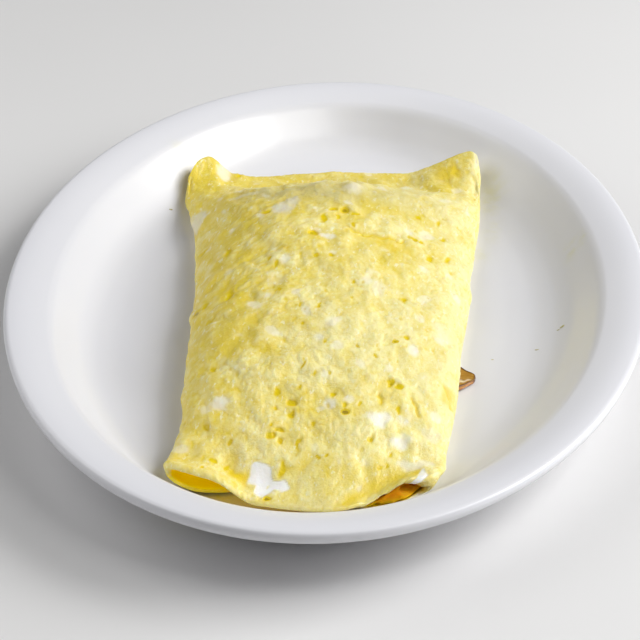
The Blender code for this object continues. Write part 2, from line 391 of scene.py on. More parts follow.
# -------------------------------------------------------------------- plate
# Faint films of egg and butter, and painted yellow bounce light: x, y, half width, half length, strength
SMEARS_AND_BOUNCE = (
    (47.0, 91.0, 4.0, 10.0, 0.30), (46.0, 52.0, 3.0, 5.0, 0.26), (-66.0, 83.0, 3.5, 3.0, 0.20),
    # the entries at (-18, -108) and (-26, -112) are painted light: the yellow glow from the egg on the plate below
    # the fold
    (49.0, 70.0, 2.5, 8.0, 0.20), (-18.0, -108.0, 11.0, 4.5, 0.80),
    (-26.0, -112.0, 10.0, 3.2, 0.75), (77.4, 42.6, 1.5, 2.2, 0.34),
    (76.6, 48.4, 2.0, 1.4, 0.28), (80.3, 46.5, 1.2, 3.0, 0.24))


def glaze_material():
    n = Nodes("white_glaze")
    b = n.bsdf
    cloud = n.noise(9.0, 3.0, 0.5)
    smear_and_bounce = n.attribute("smear_and_bounce")
    col = n.mix(n.remap(cloud, 0.3, 0.7), (0.772, 0.774, 0.812), (0.800, 0.801, 0.835))
    # yellow films of egg and butter, and painted bounce light below the fold
    patchy = n.math("MULTIPLY", smear_and_bounce, n.remap(n.noise(260.0, 3.0, 0.6), 0.35, 0.65, 0.3, 1.0))
    col = n.mix(patchy, col, (0.72, 0.70, 0.22))
    n.link(col, b.inputs["Base Color"])
    b.inputs["Roughness"].default_value = 0.30
    b.inputs["IOR"].default_value = 1.52
    b.inputs["Coat Weight"].default_value = 0.12
    b.inputs["Coat Roughness"].default_value = 0.16
    wave = n.noise(22.0, 1.0, 0.4)
    n.link(n.bump(wave, 0.0005, 0.10), b.inputs["Normal"])
    return n.mat


def make_plate():
    segs = 320
    top_o = np.concatenate([np.linspace(100.0, 50.0, 22), np.linspace(48.0, 16.0, 34),
                            np.linspace(15.4, 11.8, 10), np.linspace(11.0, 2.4, 10),
                            np.linspace(2.0, 0.0, 9)])
    under_o = np.concatenate([np.linspace(0.12, 2.0, 8), np.linspace(3.0, 33.0, 30),
                              np.linspace(33.6, 40.4, 16), np.linspace(41.5, 100.0, 12)])
    stations = [(o, float(through(PLATE_TOP, o))) for o in top_o]
    stations += [(o, float(through(PLATE_UNDER, o))) for o in under_o]
    ang = np.linspace(0, 2 * math.pi, segs, endpoint=False)
    rings = [np.stack([(PLATE_B - o) * np.cos(ang), (PLATE_A - o) * np.sin(ang),
                       np.full(segs, z)], -1) for o, z in stations]
    V = np.concatenate(rings)
    faces = quads(len(stations), segs, flip=True)
    n0, last = len(V), (len(stations) - 1) * segs
    V = np.concatenate([V, [(0.0, 0.0, stations[0][1]), (0.0, 0.0, stations[-1][1])]])
    for j in range(segs):
        k = (j + 1) % segs
        faces.append((n0, j, k))
        faces.append((n0 + 1, last + k, last + j))
    obj = new_object("plate_glazed", V, faces)
    smear_and_bounce = np.zeros(len(V))
    for cx, cy, rx, ry, strength in SMEARS_AND_BOUNCE:
        r2 = ((V[:, 0] - cx) / rx) ** 2 + ((V[:, 1] - cy) / ry) ** 2
        smear_and_bounce = np.maximum(smear_and_bounce, strength * np.exp(-r2))
    set_attribute(obj, "smear_and_bounce", smear_and_bounce)
    obj.data.materials.append(glaze_material())
    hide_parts("plate")
    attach(obj, "root")
    return obj


# ----------------------------------------------------------------- omelette
AROUND_TOP, AROUND_LOW = 204, 36
ALONG = 360
INNER_ROWS = 40

WIDE = NoiseMap(34.0, 11)
LUMP = NoiseMap(11.0, 12, 1.1)
FOLDS = NoiseMap(5.6, 13, 1.5)
RIPPLE = NoiseMap(3.0, 14, 1.6)
SLANT = NoiseMap(3.0, 18, 2.3)
GRAIN = NoiseMap(1.6, 15, 1.2)
PATCH = NoiseMap(8.0, 16, 1.2)
CLOUD = NoiseMap(19.0, 17, 1.0)

# Burst bubbles: x, y, half width, half length, depth, tone (over 1 is olive)
PITS = (
    (-1.7, -78.2, 1.6, 1.5, 1.0, 0.9), (-0.8, -82.5, 1.3, 2.2, 1.0, 1.0),
    (-3.4, -89.3, 1.4, 1.2, 0.9, 1.0), (-5.4, -92.1, 1.3, 1.6, 0.8, 0.9),
    (-2.5, -94.2, 1.2, 1.5, 0.9, 1.0), (-6.4, -87.7, 0.8, 1.2, 0.5, 0.7),
    (3.2, -94.3, 0.8, 3.4, 0.6, 0.9), (6.4, -86.5, 0.8, 1.7, 0.5, 0.7),
    (0.6, -71.6, 0.8, 1.8, 0.5, 0.7), (-6.8, -74.0, 1.0, 3.0, 0.6, 0.8),
    (-6.3, -81.7, 1.0, 1.4, 0.5, 0.7), (0.0, -61.5, 0.7, 3.2, 0.5, 0.8),
    (3.2, -64.4, 0.7, 2.0, 0.4, 0.6), (8.0, -63.1, 0.8, 1.5, 0.4, 0.6),
    (3.7, -48.9, 0.8, 1.7, 0.4, 0.6), (10.2, -73.7, 1.0, 1.2, 0.6, 0.8),
    (13.9, -77.3, 1.0, 1.3, 0.6, 0.9), (14.7, -79.8, 1.1, 1.3, 0.8, 1.3),
    (18.0, -76.5, 0.9, 1.4, 0.6, 0.9), (26.1, -63.5, 1.0, 2.6, 0.8, 1.0),
    (29.0, -63.9, 1.4, 2.0, 0.7, 0.9), (23.6, -89.6, 1.1, 1.3, 0.7, 1.0),
    (9.2, -98.3, 0.7, 1.0, 0.6, 1.0), (11.6, -97.4, 0.7, 1.0, 0.6, 1.0),
    (-0.4, -102.8, 1.3, 3.0, 0.5, 0.8), (28.6, -39.5, 1.0, 1.4, 0.5, 0.8),
    (14.3, -48.7, 0.8, 1.3, 0.4, 0.7), (20.3, -52.0, 0.8, 1.4, 0.4, 0.7),
    (25.1, -42.5, 0.8, 1.2, 0.5, 1.3), (30.1, -74.7, 0.9, 1.4, 0.5, 0.8),
    (29.6, -92.1, 0.9, 1.3, 0.5, 0.8), (29.4, -96.3, 0.8, 1.1, 0.5, 1.2),
    (27.2, -97.8, 0.7, 1.0, 0.5, 1.0), (-25.8, 26.1, 1.5, 2.0, 0.6, 0.8),
    (-8.1, 11.2, 1.6, 2.1, 0.9, 1.0), (-35.2, 4.7, 1.2, 2.1, 0.6, 0.8),
    (-44.8, 15.7, 1.2, 2.1, 0.5, 0.8), (-17.7, -7.2, 1.0, 2.4, 0.7, 0.9),
    (-20.1, -4.0, 1.0, 2.0, 0.6, 0.9), (-30.0, -23.5, 1.0, 4.0, 0.7, 0.9),
    (-14.2, -23.0, 0.7, 1.6, 0.5, 0.8), (-6.2, -31.4, 0.7, 1.5, 0.4, 0.7),
    (-3.1, -41.7, 0.7, 1.5, 0.4, 0.7), (-0.2, -30.9, 0.8, 2.8, 0.5, 0.7),
    (-39.3, -26.9, 1.2, 3.0, 0.6, 1.1), (-37.3, -25.3, 1.0, 2.2, 0.5, 0.9),
    (-33.8, -37.0, 1.1, 1.8, 0.5, 0.9), (-5.1, -2.3, 0.9, 1.7, 0.5, 0.9),
    (-0.1, -1.4, 1.0, 1.5, 0.5, 0.8), (-5.9, 21.5, 1.2, 4.0, 0.6, 0.8),
    (-3.7, 28.9, 1.3, 1.6, 0.7, 1.0), (0.2, 29.2, 1.6, 2.6, 0.8, 1.1),
    (3.8, 27.9, 1.2, 1.6, 0.6, 0.9), (-1.6, 24.0, 1.0, 1.8, 0.6, 1.0),
    (4.6, 21.0, 1.0, 1.6, 0.5, 0.9), (24.4, 40.8, 1.2, 1.8, 0.5, 0.8),
    (30.7, 13.3, 1.2, 2.2, 0.6, 0.9), (24.7, 22.0, 1.0, 1.7, 0.6, 0.9),
    (22.7, 22.8, 0.9, 1.5, 0.5, 0.8), (26.8, 22.0, 0.9, 1.4, 0.5, 0.9),
    (36.1, 18.7, 1.1, 2.4, 0.5, 0.8), (31.4, 43.5, 0.9, 2.2, 0.4, 0.7),
    (-28.3, -62.9, 1.1, 1.8, 0.6, 0.9), (-25.0, -89.8, 1.1, 1.8, 0.6, 0.8),
    (-17.0, -95.2, 1.0, 1.5, 0.6, 0.9), (-3.1, -113.6, 1.2, 1.4, 0.8, 1.3),
    (-20.4, -103.0, 1.0, 1.4, 0.4, 0.8), (-16.4, -104.7, 1.0, 1.4, 0.5, 0.9),
    (-23.0, -109.0, 0.9, 1.2, 0.4, 0.8), (25.7, -18.2, 0.9, 2.0, 0.5, 0.8),
    (8.8, -14.4, 0.8, 1.5, 0.4, 0.7), (9.3, -23.7, 0.8, 1.4, 0.4, 0.6),
    (33.5, 32.2, 0.9, 2.0, 0.4, 0.7), (-44.6, 82.4, 1.3, 2.2, 0.5, 0.8))

# Set egg white: x, y, half width, half length, strength, greyness; near the ridge the grey is painted shade on the
# white
WHITES = (
    (-6.2, -105.4, 3.1, 4.4, 1.0, 0.0), (-4.6, -109.6, 2.9, 4.0, 1.0, 0.0),
    (-0.4, -108.6, 2.4, 1.9, 1.0, 0.1), (23.8, -81.1, 3.0, 2.7, 0.95, 0.0),
    (27.0, -79.0, 2.0, 1.9, 0.8, 0.0), (9.3, -77.8, 1.9, 2.5, 0.85, 0.1),
    (7.6, -79.4, 1.6, 1.3, 0.6, 0.2), (30.6, -87.3, 2.8, 1.9, 0.85, 0.0),
    (33.8, -85.0, 2.0, 1.5, 0.6, 0.0), (31.9, -77.8, 2.0, 1.6, 0.5, 0.0),
    (35.8, -94.2, 3.6, 2.0, 0.75, 0.5), (39.6, -92.6, 2.2, 1.8, 0.7, 0.2),
    (40.0, -102.0, 1.35, 5.2, 1.0, 0.0), (31.0, -44.8, 2.0, 2.6, 0.75, 0.0),
    (25.2, -56.6, 1.3, 1.8, 0.4, 0.0), (-23.1, -80.0, 3.0, 2.5, 0.85, 0.2),
    (-26.4, -82.5, 1.6, 1.8, 0.45, 0.2), (-51.6, 40.5, 3.0, 5.0, 0.85, 0.8),
    (-20.8, 27.5, 3.2, 5.0, 0.85, 0.9), (-18.0, 32.5, 2.6, 3.4, 0.75, 0.9),
    (-49.6, 80.5, 2.4, 5.5, 0.8, 0.1), (-3.4, 10.3, 2.8, 1.7, 0.75, 0.0),
    (-6.6, 13.4, 1.6, 1.8, 0.5, 0.0), (-15.0, -4.7, 1.6, 2.4, 0.65, 0.0),
    (-17.2, -26.5, 1.2, 1.8, 0.6, 0.5), (-8.4, -23.9, 1.4, 1.6, 0.6, 0.7),
    (-16.1, -15.7, 4.0, 4.0, 0.3, 0.0), (28.2, 30.2, 2.2, 3.0, 0.55, 0.0),
    (26.6, 26.4, 1.4, 2.0, 0.45, 0.0), (1.2, 46.0, 3.0, 4.0, 0.55, 0.0),
    (16.7, -15.4, 3.0, 3.6, 0.4, 0.0), (4.9, -39.2, 1.9, 2.4, 0.45, 0.0),
    (8.3, -50.6, 2.0, 2.6, 0.5, 0.0), (-37.7, 44.1, 7.0, 1.3, 0.4, 0.7),
    (40.6, -80.0, 2.6, 3.4, 0.35, 0.0), (38.0, -30.0, 3.2, 5.0, 0.3, 0.0))

# Deep yellow: x, y, half width, half length, strength. Mostly yolk streaks; the entry at (31, 93.5) on the right
# ear's slope is painted shade
YOLKS_AND_SHADE = (
    (-12.4, -106.6, 3.2, 3.2, 1.0), (-15.4, -102.5, 2.6, 2.8, 0.5),
    (31.0, 93.5, 5.5, 6.0, 0.85), (17.0, 92.0, 8.0, 3.5, 0.15),
    (-36.0, -8.0, 5.0, 6.0, 0.40),
    (-30.5, -22.0, 5.0, 9.0, 0.35), (1.0, 25.0, 7.0, 6.0, 0.35),
    (17.0, 14.0, 10.0, 4.0, 0.45), (27.0, -66.0, 6.0, 4.0, 0.35),
    (-4.0, -91.0, 5.0, 4.0, 0.30), (10.0, -86.0, 6.0, 5.0, 0.25),
    (43.6, -60.0, 2.2, 5.0, 0.55), (-44.0, 14.0, 3.5, 9.0, 0.3))

# Paler (or, below nought, yellower) areas: x, y, half width, half length, amount
PALES = (
    (-8.0, -98.0, 10.0, 9.0, 0.30), (-19.0, -92.0, 8.0, 8.0, 0.16),
    (6.0, -44.0, 13.0, 17.0, 0.22), (36.0, -50.0, 7.0, 30.0, 0.04),
    (17.0, 6.0, 11.0, 9.0, -0.34), (-24.0, -40.0, 8.0, 12.0, -0.32),
    (4.6, -79.0, 5.0, 7.0, -0.36), (34.0, -54.0, 5.0, 10.0, 0.35),
    (42.0, -30.0, 4.0, 45.0, 0.22),
    (18.0, 40.0, 14.0, 6.0, -0.14), (28.0, -103.0, 12.0, 4.5, -0.30),
    (41.0, 20.0, 5.0, 40.0, 0.06), (-56.0, 78.0, 5.0, 7.0, 0.40),
    (40.0, 95.0, 3.0, 8.0, 0.35), (-10.0, 20.0, 10.0, 8.0, 0.12))

# Greyed, duller areas: x, y, half width, half length, strength. Most are painted shade: below the ridge, along the
# near edge and over the arch
DULLS_AND_SHADE = (
    (-19.0, 40.0, 15.0, 7.5, 0.55), (-3.0, 42.0, 12.0, 7.5, 0.60),
    (13.0, 46.0, 12.0, 7.0, 0.40), (24.0, 52.0, 10.0, 7.0, 0.30),
    (-31.0, 45.0, 9.0, 5.0, 0.35), (-12.0, 88.0, 22.0, 4.0, 0.30),
    (14.0, 92.0, 16.0, 4.0, 0.22), (8.0, -116.0, 18.0, 3.4, 0.40),
    (24.0, -108.0, 6.0, 4.0, 0.25), (29.5, -101.5, 5.0, 2.6, 0.40),
    (36.0, 40.0, 8.0, 34.0, 0.16), (43.0, -30.0, 4.0, 50.0, 0.10),
    (-24.0, -40.0, 8.0, 10.0, 0.15), (17.0, 6.0, 10.0, 7.0, 0.08))

# Creases and cracks: points, half width, depth, deep-yellow strength; the deep yellow along the crease over the arch
# is painted shade
CREASES = (
    (((19.0, -114.0), (24.0, -107.0), (28.5, -102.5), (33.5, -99.5), (38.0, -98.5)), 2.2, 0.4, 0.85),
    (((5.7, 17.0), (11.7, 16.9), (17.9, 17.3), (21.0, 18.6)), 0.8, 0.55, 0.9),
    (((2.0, 19.6), (5.7, 17.0)), 0.7, 0.4, 0.6),
    (((23.4, -70.0), (24.9, -71.2), (25.6, -73.8)), 0.6, 0.6, 0.9),
    (((33.0, -68.0), (35.2, -70.1), (36.4, -74.8)), 0.7, 0.7, 0.9),
    (((42.0, -55.8), (43.6, -59.4), (44.8, -63.6)), 0.8, 0.6, 0.8),
    (((-20.0, 0.6), (-17.4, 2.0), (-14.4, 1.0)), 0.6, 0.5, 0.85),
    (((-45.0, -22.0), (-33.0, -8.0), (-22.0, 4.0)), 1.5, 0.45, 0.25),
    (((-42.0, -38.0), (-28.0, -22.0), (-12.0, -12.0)), 1.4, 0.40, 0.20),
    (((-38.0, 20.0), (-26.0, 32.0), (-14.0, 40.0)), 1.6, 0.45, 0.15))

# Broad swellings and hollows: x, y, half width, half length, height
SWELLS = (
    (-55.5, 82.0, 4.2, 5.0, 0.4), (-50.2, 79.0, 2.4, 4.5, -0.6),
    (-44.6, 83.0, 2.4, 3.0, 0.7), (-5.0, 42.5, 5.0, 5.0, -0.5),
    (1.6, 46.5, 3.2, 4.0, 0.5), (32.0, 92.0, 6.0, 6.0, -1.0),
    (38.6, 93.0, 3.4, 9.0, 0.7), (-6.0, -104.0, 7.0, 8.0, 0.2),
    (24.0, -92.0, 9.0, 9.0, 0.5), (-24.0, -86.0, 8.0, 9.0, 0.4),
    (-18.0, 20.0, 10.0, 12.0, 0.5), (18.0, 28.0, 12.0, 10.0, 0.4),
    (-30.0, -52.0, 9.0, 12.0, 0.4), (16.0, -40.0, 14.0, 16.0, 0.3))


def near_line(x, y, points):
    """Distance from each (x, y) to a polyline."""
    best = np.full(x.shape, 1e9)
    for (ax, ay), (bx, by) in zip(points, points[1:]):
        dx, dy = bx - ax, by - ay
        t = np.clip(((x - ax) * dx + (y - ay) * dy) / (dx * dx + dy * dy), 0.0, 1.0)
        best = np.minimum(best, np.hypot(x - ax - t * dx, y - ay - t * dy))
    return best


def small_pits(rng):
    """Pinhole bubbles, in loose clusters: across, along, radii, depth, tone."""
    pits = []
    while len(pits) < 620:
        pa, py = rng.uniform(0, 150), rng.uniform(-118, 100)
        if rng.random() > 0.45 + 0.4 * float(CLOUD(pa + 40.0, py + 210.0)):
            continue
        r = 0.40 + 0.32 * rng.random() ** 3.0
        pits.append((pa, py, r, r * rng.uniform(1.0, 2.4), 0.10 + 0.16 * rng.random(),
                     0.20 + 0.35 * rng.random()))
    return pits


GLOW = 0.133             # light that reaches the fold's inside through the sheet


def egg_material():
    n = Nodes("egg")
    b = n.bsdf
    white = n.attribute("white")
    grey_and_shade = n.attribute("grey_and_shade")
    pit = n.attribute("pit")
    yolk_and_shade = n.attribute("yolk_and_shade")
    dull_and_shade = n.attribute("dull_and_shade")
    paleness_and_light = n.attribute("paleness_and_light")
    inside = n.attribute("inside")
    arch_dark_line = n.attribute("arch_dark_line")
    along = n.mapping((1.0, 0.6, 1.0))
    fine = n.noise(620.0, 5.0, 0.62, along)
    mid = n.noise(230.0, 4.0, 0.6, along)
    grain = n.math("ADD", n.remap(fine, 0.30, 0.70, -0.26, 0.26, False),
                   n.remap(mid, 0.30, 0.70, -0.20, 0.20, False))
    # paleness also carries painted light: the right side lit, the left side and the hollows shaded
    k = n.math("ADD", paleness_and_light, grain, clamp=True)
    col = n.mix(k, (0.83, 0.655, 0.075), (0.93, 0.845, 0.40))
    # painted glints: small pale flecks stand in for the sparkle of the wet surface
    painted_glints = n.noise(820.0, 2.0, 0.5, n.mapping((1.0, 0.42, 1.0)))
    col = n.mix(n.remap(painted_glints, 0.60, 0.72, 0.0, 0.55), col, (0.97, 0.94, 0.70))
    # deep yellow of yolk streaks and cracks, and painted shade on the right ear's slope and in the crease over the
    # arch
    col = n.mix(yolk_and_shade, col, (0.85, 0.63, 0.012))
    # duller olive: painted shade below the ridge, at the near edge and over the arch, duller tone elsewhere
    col = n.mix(dull_and_shade, col, (0.57, 0.50, 0.22))
    # white of egg, greyed where greyness is set; below the ridge that grey is painted shade
    chalk = n.mix(grey_and_shade, (0.985, 0.975, 0.925), (0.74, 0.74, 0.67))
    col = n.mix(white, col, chalk)
    col = n.mix(n.remap(pit, 0.05, 0.60, 0.0, 1.0, False), col, (0.79, 0.595, 0.006))
    col = n.mix(n.remap(pit, 0.95, 1.25, 0.0, 0.8, False), col, (0.30, 0.20, 0.012))
    # deep orange on the fold's inside: partly the sheet's own colour, partly painted light that comes through the
    # sheet
    col = n.mix(inside, col, (0.97, 0.70, 0.004))
    # a dark line on the underside of the sheet's edge over the arch
    col = n.mix(arch_dark_line, col, (0.16, 0.06, 0.010))
    n.link(col, b.inputs["Base Color"])
    n.link(n.remap(mid, 0.3, 0.7, 0.34, 0.52), b.inputs["Roughness"])
    b.inputs["IOR"].default_value = 1.40
    n.link(n.remap(inside, 0.0, 1.0, 0.25, 1.0, False), b.inputs["Subsurface Weight"])
    b.inputs["Subsurface Radius"].default_value = (1.0, 0.75, 0.12)
    b.inputs["Subsurface Scale"].default_value = 0.0022
    b.inputs["Coat Weight"].default_value = 0.15
    b.inputs["Coat Roughness"].default_value = 0.24
    # painted glow: the emission on the fold's inside stands in for light that comes through the thin sheet
    b.inputs["Emission Color"].default_value = (1.0, 0.86, 0.0, 1.0)
    uneven = n.remap(n.noise(140.0, 2.0, 0.5), 0.3, 0.7, 0.65 * GLOW, 1.15 * GLOW)
    n.link(n.math("MULTIPLY", n.attribute("glow"), uneven), b.inputs["Emission Strength"])
    tiny = n.noise(1500.0, 3.0, 0.6)
    h = n.math("ADD", n.math("MULTIPLY", fine, 0.6), n.math("MULTIPLY", mid, 0.8))
    h = n.math("ADD", h, n.math("MULTIPLY", tiny, 0.35))
    h = n.math("MULTIPLY", h, n.remap(white, 0.0, 1.0, 1.0, 0.3, False))
    n.link(n.bump(h, 0.0006, 0.8), b.inputs["Normal"])
    return n.mat


def make_omelette():
    s_top = even_spread(AROUND_TOP, 2.3, 47.0, 17.0)
    s_low = -even_spread(AROUND_LOW, 3.0, 47.0, 5.0)
    s = np.concatenate([s_top, s_low])
    upper = np.concatenate([np.ones(AROUND_TOP, bool), np.zeros(AROUND_LOW, bool)])
    around = AROUND_TOP + AROUND_LOW
    v = np.linspace(0.0, 1.0, ALONG)[:, None]
    P = packet_point(s[None, :], upper[None, :], v, 0.0)

    # distance round the section from the left fold, and normals
    step = np.linalg.norm(np.diff(P, axis=1, append=P[:, :1]), axis=2)
    arc = np.concatenate([np.zeros((ALONG, 1)), np.cumsum(step, axis=1)[:, :-1]], axis=1)
    du = np.roll(P, -1, axis=1) - np.roll(P, 1, axis=1)
    dv = np.gradient(P, axis=0)
    N = np.cross(du, dv)
    N /= np.linalg.norm(N, axis=2, keepdims=True) + 1e-12
    centre = P.mean(axis=1, keepdims=True)
    if (N * (P - centre)).sum() < 0:
        N = -N
    x, y, a = P[..., 0], P[..., 1], arc
    b = y + 130.0
    vv = np.broadcast_to(v, a.shape)
    face = smoothstep(-0.35, 0.25, N[..., 2])          # 0 where it lies on the plate
    body = smoothstep(0.0, 0.05, vv) * (1.0 - smoothstep(0.95, 1.0, vv))
    edge_soft = 0.35 + 0.65 * body

    # wrinkles slant up to the right over the far left part of the packet
    turn = math.radians(42.0)
    sa = -x * math.sin(turn) + y * math.cos(turn) + 130.0
    sb = x * math.cos(turn) + y * math.sin(turn) + 130.0
    slanted = smoothstep(14.0, -22.0, x) * smoothstep(-78.0, -38.0, y) * smoothstep(50.0, 22.0, y)
    ripple = RIPPLE(a, b) * (1.0 - slanted) + SLANT(sa, sb) * slanted
    ripple /= np.sqrt((1.0 - slanted) ** 2 + slanted ** 2)
    grain = GRAIN(a, b)
    folds = FOLDS(a, b)
    lump = LUMP(a, b)

    disp = 0.34 * WIDE(a, b) * body + 0.22 * lump * edge_soft + 0.12 * folds * edge_soft
    cloud = CLOUD(a, b)
    rough = np.clip(0.75 + 0.45 * cloud, 0.25, 1.4)
    disp += (0.095 + 0.04 * slanted) * rough * (np.abs(ripple) - 0.8) + 0.060 * (np.abs(grain) - 0.8)
    for cx, cy, rx, ry, height in SWELLS:
        disp += height * np.exp(-((x - cx) / rx) ** 2 - ((y - cy) / ry) ** 2)

    yolk_and_shade = np.zeros(a.shape)
    for cx, cy, rx, ry, strength in YOLKS_AND_SHADE:
        r = np.hypot((x - cx) / rx, (y - cy) / ry) + 0.16 * lump + 0.14 * folds + 0.10 * ripple
        yolk_and_shade = np.maximum(yolk_and_shade, strength * smoothstep(1.35, 0.35, r))
    for points, half, depth, strength in CREASES:
        d = near_line(x + 0.5 * folds, y + 0.4 * ripple, points) / half
        disp -= depth * np.exp(-d ** 2)
        # deep yellow along the crease; over the arch it is painted shade
        yolk_and_shade = np.maximum(yolk_and_shade, strength * np.exp(-(d / 1.1) ** 2))

    pit = np.zeros(a.shape)

    def sink(r0, r1, d2, depth, tone, sharp):
        k = np.exp(-d2 ** sharp)
        disp[r0:r1] -= depth * k
        disp[r0:r1] += 0.16 * depth * np.exp(-(np.sqrt(d2) - 1.5) ** 2 * 5.0)
        pit[r0:r1] = np.maximum(pit[r0:r1], tone * k)

    def rows_near(py, reach):
        rows = np.where((np.abs(y - py) < reach).any(axis=1))[0]
        return (rows[0], rows[-1] + 1) if len(rows) else (0, 0)

    ymid = y[:, AROUND_TOP // 2]
    for cx, cy, rx, ry, depth, tone in PITS:
        r0, r1 = rows_near(cy, 3.0 * ry)
        if r1 > r0:
            wx = x[r0:r1] + 0.35 * ripple[r0:r1]
            wy = y[r0:r1] + 0.45 * folds[r0:r1]
            sink(r0, r1, ((wx - cx) / (0.84 * rx)) ** 2 + ((wy - cy) / (0.84 * ry)) ** 2,
                 0.62 * depth * min(1.0, rx / 1.0), 1.1 * tone, 1.8)
    rng = np.random.default_rng(77)
    for pa, py, ra, rb, depth, tone in small_pits(rng):
        near = np.where(np.abs(ymid - py) < 12.0)[0]
        if len(near) == 0:
            continue
        r0, r1 = near[0], near[-1] + 1
        d2 = ((a[r0:r1] - pa) / ra) ** 2 + ((y[r0:r1] - py) / rb) ** 2
        k = np.exp(-d2 ** 1.3)
        disp[r0:r1] -= depth * k
        pit[r0:r1] = np.maximum(pit[r0:r1], tone * k)

    white, grey_and_shade = np.zeros(a.shape), np.zeros(a.shape)
    for cx, cy, rx, ry, strength, greyness_and_shade in WHITES:
        r = np.hypot((x - cx) / rx, (y - cy) / ry)
        crisp = strength > 0.96
        r = r + (0.17 * folds + 0.05 * lump + 0.07 * ripple if crisp else 0.15 * folds + 0.07 * ripple + 0.04 * grain)
        k = (strength if crisp else 0.72 * strength) * smoothstep(
            1.16 if crisp else 1.35, 0.86 if crisp else 0.60, r)
        white = np.maximum(white, k)
        grey_and_shade = np.maximum(grey_and_shade, greyness_and_shade * smoothstep(1.6, 1.0, r))
    white = np.maximum(white, 0.35 * smoothstep(1.6, 2.5, PATCH(a, b)) * face)
    calm = 1.0 - 0.75 * np.clip(white, 0.0, 1.0)
    disp += 0.14 * white - (1.0 - calm) * 0.095 * rough * (np.abs(ripple) - 0.8)

    disp = np.maximum(disp, -0.20 - 0.95 * smoothstep(0.0, 0.08, vv))
    P2 = P + N * (disp * face)[..., None]
    # ragged edge of the sheet over the arch
    rag = smoothstep(0.40, 0.55, s)[None, :] * (1.0 - smoothstep(0.93, 0.98, s))[None, :]
    rag = rag * (1.0 - smoothstep(0.0, 0.02, vv)) * upper[None, :]
    tatter = 0.24 * np.sin(s * 34.0) + 0.16 * np.sin(s * 71.0 + 1.0)
    P2[..., 2] += rag * tatter[None, :]
    P2[..., 2] = np.maximum(P2[..., 2], plate_z(P2[..., 0], P2[..., 1]) + 0.12)

    # inner skin, thin at the open end
    vi = np.linspace(0.0, 1.0, INNER_ROWS)[:, None] ** 1.35 * (CAVITY_END - 0.03)
    rim_top = 1.5 + 1.1 * (1.0 - smoothstep(-0.55, -0.15, s)) - 0.15 * smoothstep(0.30, 0.45, s)
    rim_low = 0.75 + 1.1 * (1.0 - smoothstep(-0.4, 0.0, s))
    rim = np.where(upper, rim_top, rim_low)[None, :]
    inset = rim + (2.7 - rim) * smoothstep(0.0, 0.16, vi)
    Q = packet_point(s[None, :], upper[None, :], vi, inset)
    middle = 0.5 * (through(LEFT_FOLD, vi) + through(RIGHT_FOLD, vi))
    Q[..., 0] = middle + (Q[..., 0] - middle) * (1.0 - 0.07 * smoothstep(0.08, 0.25, vi))
    Q[..., 2] += rag[0] * (1.0 - smoothstep(0.0, 0.02, vi)) * tatter[None, :]

    # rounded lip that joins outer and inner skins at the near end
    o0, i0 = P2[0], Q[0]
    gap = np.linalg.norm(o0 - i0, axis=1)
    lip = []
    turns = 6
    for k in range(1, turns):
        t = k / turns
        p = o0 * (1 - t) + i0 * t
        thin = smoothstep(0.30, 0.45, s) * (1.0 - smoothstep(0.80, 0.92, s)) * upper
        out = np.minimum(0.5 * gap, 1.7 + 1.1 * smoothstep(0.82, 0.95, s)) * (1.0 - 0.5 * thin)
        p = p + np.stack([gap * 0, -out * math.sin(math.pi * t), gap * 0], -1)
        lip.append(p)
    verts = [P2.reshape(-1, 3)]
    faces = quads(ALONG, around)
    base = ALONG * around
    ring0 = np.arange(around)
    prev = ring0
    for k, p in enumerate(lip):
        verts.append(p)
        cur = base + k * around + ring0
        for j in range(around):
            jj = (j + 1) % around
            faces.append((cur[j], cur[jj], prev[jj], prev[j]))
        prev = cur
    base += len(lip) * around
    verts.append(Q.reshape(-1, 3))
    inner0 = base + ring0
    for j in range(around):
        jj = (j + 1) % around
        faces.append((inner0[j], inner0[jj], prev[jj], prev[j]))
    faces += quads(INNER_ROWS, around, start=base, flip=True)
    faces += close_ring(s_top, s_low, (ALONG - 1) * around, False)
    faces += close_ring(s_top, s_low, base + (INNER_ROWS - 1) * around, True)

    V = np.concatenate(verts)
    obj = new_object("egg_sheet", V, faces)

    # what each point is made of
    n_out, n_lip = ALONG * around, len(lip) * around
    hollow = np.exp(-(ripple / 0.42) ** 2) * np.clip(rough, 0.4, 1.2)
    crest = smoothstep(0.6, 1.6, np.abs(ripple))
    # paler towards the right and darker towards the left: painted light from the lamp on the right, over the egg's
    # own uneven tone
    paleness_and_light = 0.40 + 0.26 * np.clip((x + 6.0) / 42.0, -1.0, 1.0) + 0.12 * cloud
    # ripple crests paler and hollows yellower: painted highlight and painted shade on the relief
    paleness_and_light += 0.14 * crest - (0.17 + 0.10 * slanted) * hollow + 0.08 * np.abs(grain)
    paleness_and_light += (0.05 + 0.07 * slanted) * PATCH(a, b) + (0.03 + 0.06 * slanted) * folds
    paleness_and_light += 0.14 * np.exp(-((x - 8.0) / 26.0) ** 2 - ((y + 50.0) / 45.0) ** 2)
    paleness_and_light -= 0.30 * smoothstep(0.86, 0.92, vv) * (1.0 - 0.6 * smoothstep(38.0, 41.0, x))
    # the far left side darker still: painted shade
    paleness_and_light -= 0.07 * smoothstep(-22.0, -38.0, x)
    # duller areas, most of them painted shade
    dull_and_shade = np.zeros(a.shape)
    for table, field in ((PALES, paleness_and_light), (DULLS_AND_SHADE, dull_and_shade)):
        for cx, cy, rx, ry, amount in table:
            r = np.hypot((x - cx) / rx, (y - cy) / ry) + 0.10 * folds + 0.05 * ripple
            field += amount * np.exp(-r ** 2)
    dull_and_shade = np.clip(dull_and_shade * (0.85 + 0.25 * ripple * 0.4 + 0.2 * folds * 0.5), 0.0, 0.8)
    paleness_and_light = np.clip(paleness_and_light, 0.0, 1.0)

